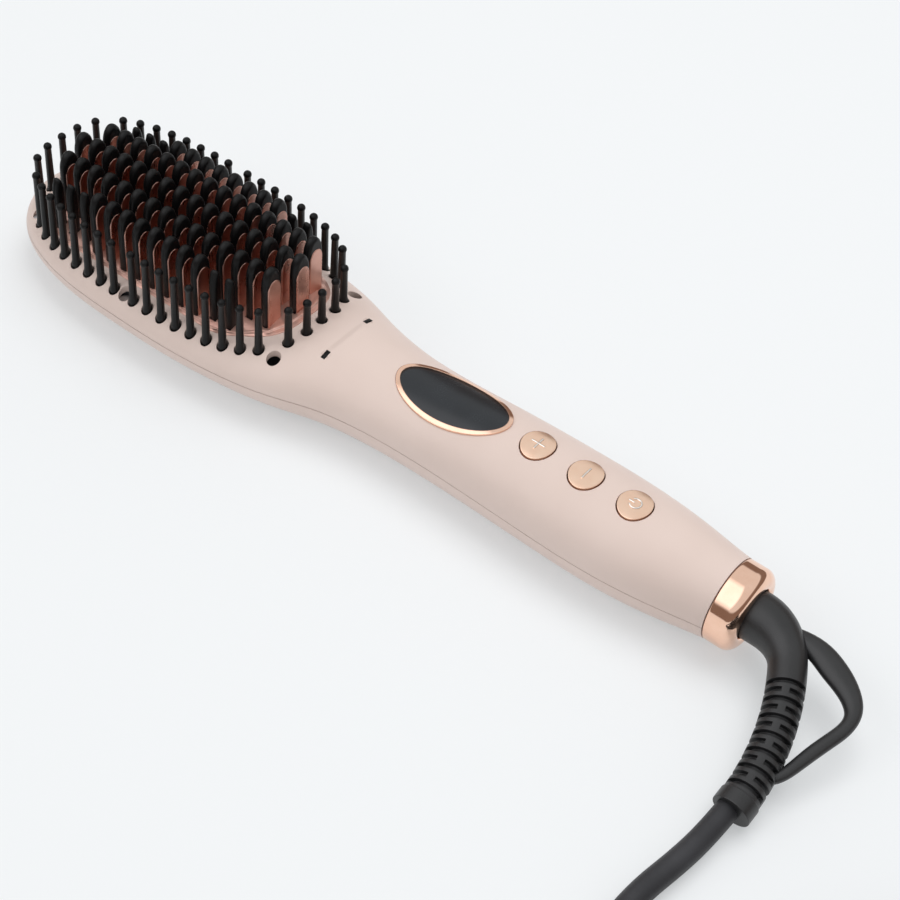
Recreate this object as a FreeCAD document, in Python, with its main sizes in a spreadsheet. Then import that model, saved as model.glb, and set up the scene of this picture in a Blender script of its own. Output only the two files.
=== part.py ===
"""Heated styling brush: a paddle head with hooded heating fins inside a ring of guard pins,
a hollow two-shell body, display, three push buttons and a swivelling cord.

Millimetres. X runs from the head to the cord end, Y across, Z up from the surface it lies on.
"""
import FreeCAD, Part

import math
import os
import re
from FreeCAD import Placement, Rotation, Vector

doc = FreeCAD.newDocument("styling_brush")
sheet = doc.addObject("Spreadsheet::Sheet", "Sizes")

SIZES = {
    # walls and fits
    "wall": 2.2, "seam_height": 13.7, "seam_gap": 0.2, "slip_fit": 0.15,
    # head end: half an oval of this length ahead of the belly
    "head_length": 57.5, "cap_power": 2.4, "cap_flatness": 0.7,
    # heating plate, proud trim and the teeth on it
    "trim_proud": 0.5, "plate_front": -26.6, "plate_rear": -121, "plate_half_width": 20.5,
    "plate_gap": 0.25, "tooth_front": -28.7, "tooth_pitch": 5.78, "inner_column": 9,
    "outer_column": 16.7, "tooth_seat": 1, "blade_width": 4.8, "blade_thickness": 3,
    "blade_height": 16, "blade_arch": 3.2, "hood_width": 6.6, "hood_thickness": 2.6,
    "hood_height": 19.9, "hood_arch": 6.4, "hood_nose": 4, "stub_width": 3.4, "stub_height": 17.5,
    # guard pins round the plate
    "ring_front": -20, "ring_length": 105, "ring_half_width": 25, "ring_power": 3,
    "pin_tip_height": 38, "pin_ball_radius": 1.3, "pin_neck_radius": 0.85, "pin_radius": 1.15,
    "pin_foot_radius": 1.65, "pin_foot_height": 1.2, "pin_flare": 4, "pin_seat": 1.5,
    "end_pin_pitch": 6.25, "side_pin_pitch": 5.55, "middle_pin_gap": 7.85,
    # carrier tray under the head, heater pack in it
    "carrier_base": 14.5, "tray_floor": 2, "tray_half_width": 17.5, "tray_margin": 4,
    "carrier_front": -6, "pad_length": 66, "pad_width": 29, "pad_height": 3.3, "heater_length": 54,
    "heater_width": 16, "heater_height": 1.5, "heater_at": -72, "fuse_radius": 1.6,
    "fuse_length": 11, "sensor_radius": 1.3, "sensor_length": 6, "sensor_side": 11,
    # screws of the head
    "screw_front_at": -22.5, "screw_front_side": 18, "screw_middle_at": -75,
    "screw_middle_side": 24.6, "screw_rear_at": -120.5, "screw_rear_side": 15.5,
    "screw_head_radius": 2, "screw_head_height": 1.4, "screw_shank_radius": 1.1,
    "screw_length": 10, "screw_seat": 1.1, "boss_radius": 3,
    # ion outlets at the neck
    "outlet_at": -10.4, "outlet_side": 9.4, "outlet_length": 2.6, "outlet_width": 1.3,
    "needle_radius": 0.45, "needle_set_back": 0.8,
    # display
    "display_at": 28.7, "display_half_length": 19.4, "display_half_width": 10, "bezel_width": 1.3,
    "module_length": 28, "module_width": 11, "module_height": 5.2,
    # push buttons and their switches
    "button_front": 57.9, "button_pitch": 16.2, "button_half_length": 4.8, "button_half_width": 5.4,
    "button_gap": 0.3, "button_travel": 0.3, "stem_radius": 2, "flange_radius": 5.6,
    "flange_height": 1, "flange_top": 24.4, "switch_width": 6, "switch_height": 3.6,
    "plunger_radius": 1.5, "plunger_depth": 0.7, "plunger_rise": 1.2,
    # control board and what is under it
    "board_front": 10, "board_length": 98, "board_half_width": 10, "board_base": 15.5,
    "board_thickness": 1.6, "post_radius": 2.2, "post_inset": 5, "ion_box_at": 55,
    "ion_box_length": 30, "ion_box_width": 12, "ion_box_height": 9, "ion_box_base": 2.9,
    # cord swivel in the handle end
    "axis_height": 14.7, "collar_radius": 12.4, "collar_length": 9.8, "collar_lip": 2.5,
    "collar_round": 3, "collar_mouth": 7.7, "collar_wall": 2.2, "bearing_length": 15,
    "bearing_radius": 10, "bearing_reach": 3.7, "spindle_radius": 6.6, "spindle_gap": 0.3,
    "spindle_flange_radius": 8.6, "spindle_flange": 2,
    # strain relief and hang loop
    "relief_radius": 6.8, "relief_end_radius": 5.1, "relief_droop": 10.5, "relief_lead": 6.7,
    "elbow_radius": 15, "elbow_turn": 68, "tail_radius": 100, "tail_turn": 23,
    "slot_count": 13, "slot_width": 1.1, "slot_pitch": 2.2, "slot_core": 3.7, "slot_web": 2.4,
    "slot_start": 4, "loop_width": 4.4, "loop_thickness": 3.6, "loop_bend": 11, "loop_ease": 40,
    "loop_root_ahead": 6, "loop_root_aside": 5.5, "loop_peak_ahead": 33.5, "loop_peak_down": 4.6,
    "loop_foot_ahead": 30.3, "loop_foot_down": 27, "loop_end_ahead": 2.5, "loop_end_up": 6.5,
    # mains cord, its coil, tie and plug
    "cord_radius": 3.3, "coil_lift": 0.9, "coil_step": 7.1, "coil_inner": 29, "coil_turns": 5.9,
    "tie_width": 9, "tie_thickness": 0.6, "tie_gap": 0.25, "plug_width": 26, "plug_back_width": 15,
    "plug_length": 30, "plug_height": 13.6, "plug_neck": 14, "plug_neck_radius": 5.6,
    "plug_neck_wall": 0.6, "plug_gap": 0.3, "tie_slack": 0.6, "plug_round": 1.6,
    "plug_pin_radius": 2, "plug_pin_length": 19, "plug_pin_pitch": 18.6,
}

# Body stations: place, half width, centre height, rise above it, drop below it
STATIONS = {
    "belly": (-75, 29.6, 13.0, 11.5, 13.6),
    "paddle": (-55, 29.5, 13.2, 11.4, 13.8),
    "shoulder": (-37, 27.9, 13.4, 11.7, 14.0),
    "root": (-20, 24.4, 13.6, 12.6, 14.2),
    "neck": (-7, 20.0, 13.8, 12.8, 14.4),
    "throat": (8, 17.2, 13.9, 11.9, 14.5),
    "screen": (28, 16.2, 14.1, 12.9, 14.7),
    "thumb": (48, 16.5, 14.3, 14.2, 14.9),
    "grip": (70, 17.2, 14.5, 14.0, 15.1),
    "palm": (92, 16.9, 14.6, 13.6, 15.2),
    "heel": (110, 14.6, 14.7, 12.9, 14.0),
    "tail": (122.3, 12.4, 14.7, 12.4, 12.4),
}
STATION_WORDS = ("at", "half_width", "centre", "rise", "drop")
for station, numbers in STATIONS.items():
    for word, number in zip(STATION_WORDS, numbers):
        SIZES[station + "_" + word] = number

# Share of the head's length at each section of its rounded end, tip first
CAP_SHARES = (0.997, 0.95, 0.84, 0.66, 0.36)
CENTRE_TEETH = 16
INNER_TEETH = 15
OUTER_BLADES = range(4, 12)
OUTER_STUBS = (2, 3, 12, 13, 14)
END_PINS = 2
SIDE_PINS_FRONT = 9
SIDE_PINS_REAR = 8
BUTTONS = ("heat_up", "heat_down", "power")
# Clear heights and reaches for cutting tools, larger than the brush
FAR = 200
HIGH = 60
# Edges nearer than this are at the same place
TOUCH = 0.01


def fill_sheet():
    for row, (alias, number) in enumerate(SIZES.items(), start=1):
        sheet.set("A%d" % row, alias)
        sheet.set("B%d" % row, str(number))
        sheet.setAlias("B%d" % row, alias)
    doc.recompute()


fill_sheet()


def size(alias):
    return float(sheet.get(alias))


def formula(text):
    """Point each size named in the text at its cell of the sheet."""
    return re.sub(r"[a-z][a-z_]+", lambda m: "Sizes." + m[0] if m[0] in SIZES else m[0], str(text))


def size_of(text):
    """The value of a formula of sizes, for what part.py works out itself."""
    return float(sheet.evalExpression(formula(text)))


def bind(item, **formulas):
    for path, text in formulas.items():
        item.setExpression(path, formula(text))
    return item


def place(item, x=0, y=0, z=0):
    for axis, text in (("x", x), ("y", y), ("z", z)):
        item.setExpression("Placement.Base." + axis, formula(text))
    return item


def box(name, x, y, z, length, width, height):
    """A block from its low corner."""
    block = doc.addObject("Part::Box", name)
    bind(block, Length=length, Width=width, Height=height)
    return place(block, x, y, z)


def block_on_axis(name, centre_x, z, length, width, height):
    return box(name, "%s - (%s)/2" % (centre_x, length), "-(%s)/2" % width, z, length, width, height)


def post(name, x, y, z, radius, height):
    """A round post that stands up from z."""
    rod = doc.addObject("Part::Cylinder", name)
    bind(rod, Radius=radius, Height=height)
    return place(rod, x, y, z)


def shaft(name, x, radius, length, y=0, z="axis_height"):
    """A round bar along X."""
    rod = doc.addObject("Part::Cylinder", name)
    rod.Placement = Placement(Vector(), Rotation(Vector(0, 1, 0), 90))
    bind(rod, Radius=radius, Height=length)
    return place(rod, x, y, z)


def oval_prism(name, x, y, z, half_length, half_width, height):
    """An upright prism on an ellipse; its longer axis may lie along X or Y."""
    oval = doc.addObject("Part::Ellipse", name + "_outline")
    long_axis, short_axis = half_length, half_width
    if size_of(half_width) > size_of(half_length):
        long_axis, short_axis = half_width, half_length
        oval.Placement = Placement(Vector(), Rotation(Vector(0, 0, 1), 90))
    bind(oval, MajorRadius=long_axis, MinorRadius=short_axis)
    place(oval, x, y, z)
    prism = doc.addObject("Part::Extrusion", name)
    prism.Base = oval
    prism.DirMode = "Custom"
    prism.Dir = Vector(0, 0, 1)
    prism.Solid = True
    return bind(prism, LengthFwd=height)


def stadium(name, rear, front, half_width, z, height):
    """An upright prism with straight sides and round ends."""
    span = "(%s) - (%s) - 2*(%s)" % (front, rear, half_width)
    middle = box(name + "_middle", "%s + %s" % (rear, half_width), "-(%s)" % half_width, z,
                 span, "2*(%s)" % half_width, height)
    ends = [post(name + "_rear", "%s + %s" % (rear, half_width), 0, z, half_width, height),
            post(name + "_front", "%s - (%s)" % (front, half_width), 0, z, half_width, height)]
    return fuse(name, [middle] + ends)


def fuse(name, items):
    joined = doc.addObject("Part::MultiFuse", name)
    joined.Shapes = items
    return joined


def common(name, items):
    shared = doc.addObject("Part::MultiCommon", name)
    shared.Shapes = items
    return shared


def cut(name, base, tool):
    rest = doc.addObject("Part::Cut", name)
    rest.Base = base
    rest.Tool = tool
    return rest


def group(name, items):
    """Separate solids kept together, such as a set of screws or of cutting tools."""
    gathered = doc.addObject("Part::Compound", name)
    gathered.Links = items
    return gathered


def solid(name, shape):
    item = doc.addObject("Part::Feature", name)
    item.Shape = shape
    return item


# Body: lofts through oval sections


def oval_section(name, at, half_width, half_height, centre):
    """An upright oval; its outline starts at +Y whichever of its axes is longer."""
    width, height = size_of(half_width), size_of(half_height)
    quarter = 90 if height > width else 0
    oval = Part.Ellipse(Vector(), max(width, height), min(width, height))
    start = -math.radians(quarter)
    outline = Part.ArcOfEllipse(oval, start, start + 2 * math.pi).toShape()
    section = solid(name, outline)
    upright = Rotation(Vector(1, 1, 1), 120).multiply(Rotation(Vector(0, 0, 1), quarter))
    section.Placement = Placement(Vector(size_of(at), 0, size_of(centre)), upright)
    return section


def body_loft(name, reach, inset):
    """The whole body's form, with the rise or the drop as its half height, moved in by inset."""
    sections = []
    for share in CAP_SHARES:
        swell = "(1 - %s^cap_power)^(1/cap_power)" % share
        sections.append(oval_section(
            "%s_cap" % name, "belly_at - (head_length - (%s))*%s" % (inset, share),
            "belly_half_width*%s - (%s)" % (swell, inset),
            "belly_%s*%s^cap_flatness - (%s)" % (reach, swell, inset), "belly_centre"))
    for station in STATIONS:
        sections.append(oval_section(
            "%s_%s" % (name, station), station + "_at", "%s_half_width - (%s)" % (station, inset),
            "%s_%s - (%s)" % (station, reach, inset), station + "_centre"))
    loft = doc.addObject("Part::Loft", name)
    loft.Sections = sections
    loft.Solid = True
    loft.Ruled = False
    return loft


upper_form = body_loft("upper_form", "rise", "0")
upper_hollow = body_loft("upper_hollow", "rise", "wall")
trim_form = body_loft("trim_form", "rise", "-trim_proud")
lower_form = body_loft("lower_form", "drop", "0")
lower_hollow = body_loft("lower_hollow", "drop", "wall")
doc.recompute()


def top_of(form, x, y):
    """Height of a form's upper face over a point."""
    line = Part.makeLine(Vector(x, y, size("seam_height")), Vector(x, y, HIGH))
    return form.Shape.common(line).BoundBox.ZMax


# Guard pins: even steps along an oval ring, in groups that leave room for the screws


def ring_places():
    """Pin places on one side, front first, by walking along the ring."""
    half_length = size("ring_length") / 2
    power = size("ring_power")
    centre = size("ring_front") - half_length
    steps = 4000
    walk = []
    for i in range(steps + 1):
        angle = math.pi * i / steps
        lean_x = abs(math.cos(angle)) ** (2 / power) * (1 if angle <= math.pi / 2 else -1)
        lean_y = math.sin(angle) ** (2 / power)
        walk.append((centre + half_length * lean_x, size("ring_half_width") * lean_y))
    lengths = [0]
    for before, after in zip(walk, walk[1:]):
        lengths.append(lengths[-1] + math.dist(before, after))
    end_run = END_PINS * size("end_pin_pitch")
    side_run = (SIDE_PINS_FRONT + SIDE_PINS_REAR - 2) * size("side_pin_pitch") + size("middle_pin_gap")
    corner_gap = (lengths[-1] - 2 * end_run - side_run) / 2
    marks = [size("end_pin_pitch") * (i + 1) for i in range(END_PINS)]
    front = end_run + corner_gap
    marks += [front + size("side_pin_pitch") * i for i in range(SIDE_PINS_FRONT)]
    rear = marks[-1] + size("middle_pin_gap")
    marks += [rear + size("side_pin_pitch") * i for i in range(SIDE_PINS_REAR)]
    marks += [lengths[-1] - mark for mark in reversed(marks[:END_PINS])]
    places = []
    for mark in marks:
        nearest = min(range(len(lengths)), key=lambda i: abs(lengths[i] - mark))
        places.append(walk[nearest])
    return places, walk[0], walk[-1]


def pin_shape(foot, skin, tip):
    """A turned pin: shank in the carrier, flare on the shell, slim neck and ball tip."""
    ball = size("pin_ball_radius")
    neck = size("pin_neck_radius")
    ball_base = tip - ball - math.sqrt(ball ** 2 - neck ** 2)
    profile = [Vector(0, 0, foot), Vector(size("pin_foot_radius"), 0, foot),
               Vector(size("pin_foot_radius"), 0, skin + size("pin_foot_height")),
               Vector(size("pin_radius"), 0, skin + size("pin_flare")), Vector(neck, 0, ball_base)]
    edges = [Part.makeLine(a, b) for a, b in zip(profile, profile[1:])]
    edges.append(Part.Arc(profile[-1], Vector(ball, 0, tip - ball), Vector(0, 0, tip)).toShape())
    edges.append(Part.makeLine(Vector(0, 0, tip), profile[0]))
    face = Part.Face(Part.Wire(edges))
    return face.revolve(Vector(), Vector(0, 0, 1), 360)


def pin_places():
    side, front, rear = ring_places()
    places = [front, rear]
    for x, y in side:
        places += [(x, y), (x, -y)]
    return places


PINS = pin_places()
pins = []
for x, y in PINS:
    skin = top_of(upper_form, x, y)
    foot = max(top_of(upper_hollow, x, y) - size("pin_seat"), size("carrier_base"))
    pins.append(pin_shape(foot, skin, size("pin_tip_height")).translated(Vector(x, y, 0)))
bristle_pins = solid("bristle_pins", Part.makeCompound(pins))

# Teeth: a metal blade in a plastic hood, on a quincunx of rows


def arch(half_width, base, spring, top):
    """A flat arch face on the YZ plane: straight sides up to the spring, then half an oval."""
    low_left, low_right = Vector(0, -half_width, base), Vector(0, half_width, base)
    left, right = Vector(0, -half_width, spring), Vector(0, half_width, spring)
    oval = Part.Ellipse(Vector(0, 0, top), right, Vector(0, 0, spring))
    crown = Part.ArcOfEllipse(oval, -math.pi / 2, math.pi / 2).toShape()
    edges = [Part.makeLine(low_left, left), crown, Part.makeLine(right, low_right),
             Part.makeLine(low_right, low_left)]
    return Part.Face(Part.Wire(Part.__sortEdges__(edges)))


def arch_slab(half_width, base, spring, top, thickness):
    slab = arch(half_width, base, spring, top).extrude(Vector(thickness, 0, 0))
    return slab.translated(Vector(-thickness / 2, 0, 0))


def blade_slab(thickness):
    height = size("blade_height")
    return arch_slab(size("blade_width") / 2, -size("tooth_seat"), height - size("blade_arch"),
                     height, thickness)


def nosed(width, height, arch_height):
    """A paddle with an arched front and a rounded nose at its tip, seen from the side."""
    front = arch_slab(width / 2, -size("tooth_seat"), height - arch_height, height,
                      size("hood_thickness"))
    side = arch_slab(size("hood_thickness") / 2, -size("tooth_seat"), height - size("hood_nose"),
                     height, width)
    side.rotate(Vector(), Vector(0, 0, 1), 90)
    return front.common(side)


blade = blade_slab(size("blade_thickness"))
hood = nosed(size("hood_width"), size("hood_height"), size("hood_arch")).cut(
    blade_slab(2 * size("blade_thickness")))
stub = nosed(size("stub_width"), size("stub_height"), size("hood_arch"))


def tooth_places():
    """Places of the bladed teeth and of the plain stubs."""
    pitch = size("tooth_pitch")
    bladed = [(size("tooth_front") - pitch * i, 0) for i in range(CENTRE_TEETH)]
    stubs = []
    for side in (-1, 1):
        inner = side * size("inner_column")
        outer = side * size("outer_column")
        bladed += [(size("tooth_front") - pitch * (i + 0.5), inner) for i in range(INNER_TEETH)]
        bladed += [(size("tooth_front") - pitch * i, outer) for i in OUTER_BLADES]
        stubs += [(size("tooth_front") - pitch * i, outer) for i in OUTER_STUBS]
    return bladed, stubs


def on_plate(shape, places):
    return [shape.translated(Vector(x, y, top_of(trim_form, x, y))) for x, y in places]


BLADED, STUBS = tooth_places()
blades = on_plate(blade, BLADED)
hoods = on_plate(hood, BLADED) + on_plate(stub, STUBS)
heating_fins = solid("heating_fins", Part.makeCompound(blades))
fin_hoods = solid("fin_hoods", Part.makeCompound(hoods))


def foot_block(width, thickness):
    height = 2 * size("tooth_seat")
    return Part.makeBox(thickness, width, height + size("tooth_seat"),
                        Vector(-thickness / 2, -width / 2, -size("tooth_seat")))


hood_foot = foot_block(size("hood_width"), size("hood_thickness"))
tooth_foot = hood_foot.fuse(foot_block(size("blade_width"), size("blade_thickness")))
stub_foot = foot_block(size("stub_width"), size("hood_thickness"))
tooth_sockets = solid("tooth_sockets", Part.makeCompound(
    on_plate(tooth_foot, BLADED) + on_plate(stub_foot, STUBS)))

# Heating plate: a curved lid flush on the carrier, with a flat seat for the heater below

plate_outline = stadium("plate_outline", "plate_rear", "plate_front", "plate_half_width",
                        "seam_height", HIGH)
plate_curve = common("plate_curve", [trim_form, plate_outline])
plate_skin = cut("plate_skin", plate_curve, upper_hollow)
HEATER_BASE = "carrier_base + tray_floor + pad_height"
HEATER_TOP = HEATER_BASE + " + heater_height"
heater_seat_block = block_on_axis("heater_seat_block", "heater_at", HEATER_TOP, "heater_length",
                                  "heater_width", "wall")
plate_blank = fuse("plate_blank", [plate_skin, heater_seat_block])
heating_plate = cut("heating_plate", plate_blank, tooth_sockets)

# Openings of the upper shell

SCREWS = [("screw_%s_at" % row, "%sscrew_%s_side" % (sign, row))
          for row in ("front", "middle", "rear") for sign in ("", "-")]
plate_hole = stadium("plate_hole", "plate_rear - plate_gap", "plate_front + plate_gap",
                     "plate_half_width + plate_gap", "seam_height", HIGH)
display_hole = oval_prism("display_hole", "display_at", 0, "axis_height", "display_half_length",
                          "display_half_width", HIGH)
screw_wells = [post("screw_well", x, y, "carrier_base + screw_seat",
                    "screw_head_radius + slip_fit", HIGH) for x, y in SCREWS]
shank_passages = [post("shank_passage", x, y, "seam_height", "screw_shank_radius + slip_fit",
                       "carrier_base + screw_seat - seam_height") for x, y in SCREWS]
pin_hole_radius = size("pin_foot_radius") + size("slip_fit")
pin_holes = solid("pin_holes", Part.makeCompound(
    [Part.makeCylinder(pin_hole_radius, HIGH, Vector(x, y, size("carrier_base"))) for x, y in PINS]))
outlets = [box("outlet", "outlet_at - outlet_length/2", "%soutlet_side - outlet_width/2" % sign,
               "axis_height", "outlet_length", "outlet_width", HIGH) for sign in ("", "-")]


def button_at(number):
    return "button_front + %d*button_pitch" % number


button_holes = [oval_prism("button_hole", button_at(i), 0, "axis_height",
                           "button_half_length + button_gap", "button_half_width + button_gap", HIGH)
                for i in range(len(BUTTONS))]

# Shells

above_seam = box("above_seam", -FAR, -FAR, "seam_height + seam_gap/2", 2 * FAR, 2 * FAR, HIGH)
below_seam = box("below_seam", -FAR, -FAR, 0, 2 * FAR, 2 * FAR, "seam_height - seam_gap/2")
upper_half = common("upper_half", [upper_form, above_seam])
upper_wall = cut("upper_wall", upper_half, upper_hollow)
upper_openings = group("upper_openings", [plate_hole, display_hole, pin_holes] + screw_wells
                       + shank_passages + outlets + button_holes)
upper_shell = cut("upper_shell", upper_wall, upper_openings)

lower_half = common("lower_half", [lower_form, below_seam])
lower_wall = cut("lower_wall", lower_half, lower_hollow)
BOARD_POSTS = [("board_front + post_inset", "%s(board_half_width - post_radius)" % sign)
               for sign in ("", "-")]
BOARD_POSTS += [("board_front + board_length - post_inset", y) for x, y in BOARD_POSTS]
bosses = [post("screw_boss", x, y, 0, "boss_radius", "carrier_base") for x, y in SCREWS]
board_posts = [post("board_post", x, y, 0, "post_radius", "board_base") for x, y in BOARD_POSTS]
pillars = group("pillars", bosses + board_posts)
body_room = fuse("body_room", [lower_half, upper_hollow])
seated_pillars = common("seated_pillars", [pillars, body_room])
lower_blank = fuse("lower_blank", [lower_wall, seated_pillars])
SHANK_BASE = "carrier_base + screw_seat - screw_length"
shank_holes = [post("shank_hole", x, y, SHANK_BASE, "screw_shank_radius", "screw_length")
               for x, y in SCREWS]
board_screw_holes = [post("board_screw_hole", x, y, "board_base - screw_length/2",
                          "screw_shank_radius", "screw_length/2") for x, y in BOARD_POSTS]
pilot_holes = group("pilot_holes", shank_holes + board_screw_holes)
# The lower form dips a little below the floor, so it is cut to a flat that it lies on
floor_slab = box("floor_slab", -FAR, -FAR, -HIGH, 2 * FAR, 2 * FAR, HIGH)
drilled_lower = cut("drilled_lower", lower_blank, pilot_holes)
lower_shell = cut("lower_shell", drilled_lower, floor_slab)


def screw(name, x, y, seat, length):
    return fuse(name, [post(name + "_head", x, y, seat, "screw_head_radius", "screw_head_height"),
                       post(name + "_shank", x, y, "%s - (%s)" % (seat, length), "screw_shank_radius",
                            length)])


head_screws = group("head_screws", [screw("head_screw", x, y, "carrier_base + screw_seat",
                                          "screw_length") for x, y in SCREWS])
board_screws = group("board_screws", [screw("board_screw", x, y, "board_base + board_thickness",
                                            "board_thickness + screw_length/2")
                                      for x, y in BOARD_POSTS])

# Carrier tray, heater pack and ion needles


def needle(sign):
    x = size("outlet_at")
    y = sign * size("outlet_side")
    base = size("carrier_base") + size("tray_floor")
    tip = top_of(upper_form, x, y) - size("needle_set_back")
    return Part.makeCylinder(size("needle_radius"), tip - base, Vector(x, y, base))


ion_needles = solid("ion_needles", Part.makeCompound([needle(1), needle(-1)]))
carrier_room = box("carrier_room", -FAR, -FAR, "carrier_base", "%d + carrier_front" % FAR, 2 * FAR, HIGH)
carrier_form = common("carrier_form", [upper_hollow, carrier_room])
tray = stadium("tray", "plate_rear + tray_margin", "plate_front - tray_margin", "tray_half_width",
               "carrier_base + tray_floor", HIGH)
carrier_shanks = [post("carrier_shank", x, y, "carrier_base", "screw_shank_radius", "screw_seat")
                  for x, y in SCREWS]
carrier_cuts = group("carrier_cuts", [tray, bristle_pins, ion_needles] + screw_wells + carrier_shanks)
bristle_carrier = cut("bristle_carrier", carrier_form, carrier_cuts)

pad_block = block_on_axis("pad_block", "heater_at", "carrier_base + tray_floor", "pad_length",
                          "pad_width", "pad_height")
thermal_fuse = shaft("thermal_fuse", "heater_at - fuse_length/2", "fuse_radius", "fuse_length",
                     "sensor_side", HEATER_BASE)
temperature_sensor = shaft("temperature_sensor", "heater_at - sensor_length/2", "sensor_radius",
                           "sensor_length", "-sensor_side", HEATER_BASE)
sensor_grooves = group("sensor_grooves", [thermal_fuse, temperature_sensor])
insulation_pad = cut("insulation_pad", pad_block, sensor_grooves)
ceramic_heater = block_on_axis("ceramic_heater", "heater_at", HEATER_BASE, "heater_length",
                               "heater_width", "heater_height")

# Display

lens_prism = oval_prism("lens_prism", "display_at", 0, "axis_height",
                        "display_half_length - bezel_width", "display_half_width - bezel_width", HIGH)
bezel_prism = oval_prism("bezel_prism", "display_at", 0, "axis_height", "display_half_length",
                         "display_half_width", HIGH)
bezel_ring = cut("bezel_ring", bezel_prism, lens_prism)
display_bezel = cut("display_bezel", common("bezel_curve", [trim_form, bezel_ring]), upper_hollow)
display_lens = cut("display_lens", common("lens_curve", [upper_form, lens_prism]), upper_hollow)
BOARD_TOP = "board_base + board_thickness"
display_module = block_on_axis("display_module", "display_at", BOARD_TOP, "module_length",
                               "module_width", "module_height")

# Control board, switches and buttons

board_block = box("board_block", "board_front", "-board_half_width", "board_base", "board_length",
                  "2*board_half_width", "board_thickness")
board_holes = group("board_holes", [post("board_hole", x, y, "board_base", "screw_shank_radius",
                                         "board_thickness") for x, y in BOARD_POSTS])
control_board = cut("control_board", board_block, board_holes)
ion_generator = block_on_axis("ion_generator", "ion_box_at", "ion_box_base", "ion_box_length",
                              "ion_box_width", "ion_box_height")
SWITCH_TOP = BOARD_TOP + " + switch_height"
PLUNGER_BASE = SWITCH_TOP + " - plunger_depth"
PLUNGER_TOP = SWITCH_TOP + " + plunger_rise"


def switch_body(number):
    block = block_on_axis("switch_block", button_at(number), BOARD_TOP, "switch_width",
                          "switch_width", "switch_height")
    well = post("switch_well", button_at(number), 0, PLUNGER_BASE + " - 2*button_travel",
                "plunger_radius + slip_fit", "plunger_depth + 2*button_travel")
    return cut("switch_body", block, well)


tact_switches = group("tact_switches", [switch_body(i) for i in range(len(BUTTONS))])


def button_cap(name, number):
    at = button_at(number)
    prism = oval_prism(name + "_prism", at, 0, "axis_height", "button_half_length",
                       "button_half_width", HIGH)
    cap = cut(name + "_cap", common(name + "_curve", [trim_form, prism]), upper_hollow)
    stem = post(name + "_stem", at, 0, PLUNGER_TOP, "stem_radius",
                "thumb_centre + thumb_rise - wall/2 - (%s)" % PLUNGER_TOP)
    flange = post(name + "_flange", at, 0, "flange_top - flange_height", "flange_radius",
                  "flange_height")
    return fuse(name, [cap, stem, flange])


buttons = {}
plungers = {}
for i, word in enumerate(BUTTONS):
    buttons[word] = button_cap(word + "_button", i)
    plungers[word] = post(word + "_plunger", button_at(i), 0, PLUNGER_BASE, "plunger_radius",
                          "plunger_depth + plunger_rise")

# Handle end: collar, bearing and the spindle that turns in it

COLLAR_END = "tail_at + seam_gap + collar_length"
LIP_FACE = COLLAR_END + " - collar_lip"
BEARING_END = "tail_at + bearing_reach"
BEARING_START = BEARING_END + " - bearing_length"
collar_body = shaft("collar_body", "tail_at + seam_gap", "collar_radius", "collar_length")
doc.recompute()


def end_circle(item, x):
    """Number of the round edge of a bar at the given place on X."""
    for number, edge in enumerate(item.Shape.Edges, start=1):
        if edge.BoundBox.XLength < TOUCH and abs(edge.BoundBox.XMax - x) < TOUCH:
            return number


rounded_collar = doc.addObject("Part::Fillet", "rounded_collar")
rounded_collar.Base = collar_body
rounded_collar.Edges = [(end_circle(collar_body, size_of(COLLAR_END)), size("collar_round"),
                         size("collar_round"))]
collar_room = fuse("collar_room", [
    shaft("collar_cavity", "tail_at", "collar_radius - collar_wall",
          "seam_gap + collar_length - collar_lip"),
    shaft("collar_bore", "tail_at", "collar_mouth", "2*collar_length")])
end_collar = cut("end_collar", rounded_collar, collar_room)
swivel_bearing = cut("swivel_bearing",
                     shaft("bearing_body", BEARING_START, "bearing_radius", "bearing_length"),
                     shaft("bearing_bore", BEARING_START, "spindle_radius + slip_fit", "bearing_length"))
SPINDLE_END = BEARING_END + " + spindle_gap + spindle_flange"
swivel_spindle = fuse("swivel_spindle", [
    shaft("spindle_core", BEARING_START + " - spindle_gap - spindle_flange", "spindle_radius",
          "bearing_length + 2*spindle_gap + 2*spindle_flange"),
    shaft("spindle_inner_flange", BEARING_START + " - spindle_gap - spindle_flange",
          "spindle_flange_radius", "spindle_flange"),
    shaft("spindle_outer_flange", BEARING_END + " + spindle_gap", "spindle_flange_radius",
          "spindle_flange")])

# Strain relief: laid out flat in the swivel's plane, x along the handle and y away from it


def arc_edge(start, heading, radius, turn):
    """A flat arc that turns left from a heading; gives the edge, its end and the new heading."""
    centre = start + Vector(-math.sin(heading), math.cos(heading), 0) * radius
    ends = []
    for angle in (heading + turn / 2, heading + turn):
        ends.append(centre + Vector(math.sin(angle), -math.cos(angle), 0) * radius)
    return Part.Arc(start, ends[0], ends[1]).toShape(), ends[1], heading + turn


RELIEF_START = Vector(size_of(SPINDLE_END), 0, 0)
elbow_start = RELIEF_START + Vector(size("relief_lead"), 0, 0)
lead_edge = Part.makeLine(RELIEF_START, elbow_start)
elbow_edge, tail_start, tail_heading = arc_edge(elbow_start, 0, size("elbow_radius"),
                                                math.radians(size("elbow_turn")))
tail_edge, relief_end, end_heading = arc_edge(tail_start, tail_heading, size("tail_radius"),
                                              math.radians(size("tail_turn")))
relief_path = Part.Wire([lead_edge, elbow_edge, tail_edge])


def disc(centre, heading, radius):
    return Part.Wire(Part.makeCircle(radius, centre, Vector(math.cos(heading), math.sin(heading), 0)))


def relief_blank():
    shell = Part.BRepOffsetAPI.MakePipeShell(relief_path)
    shell.add(disc(RELIEF_START, 0, size("relief_radius")))
    shell.add(disc(relief_end, end_heading, size("relief_end_radius")))
    shell.build()
    shell.makeSolid()
    return shell.shape()


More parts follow.
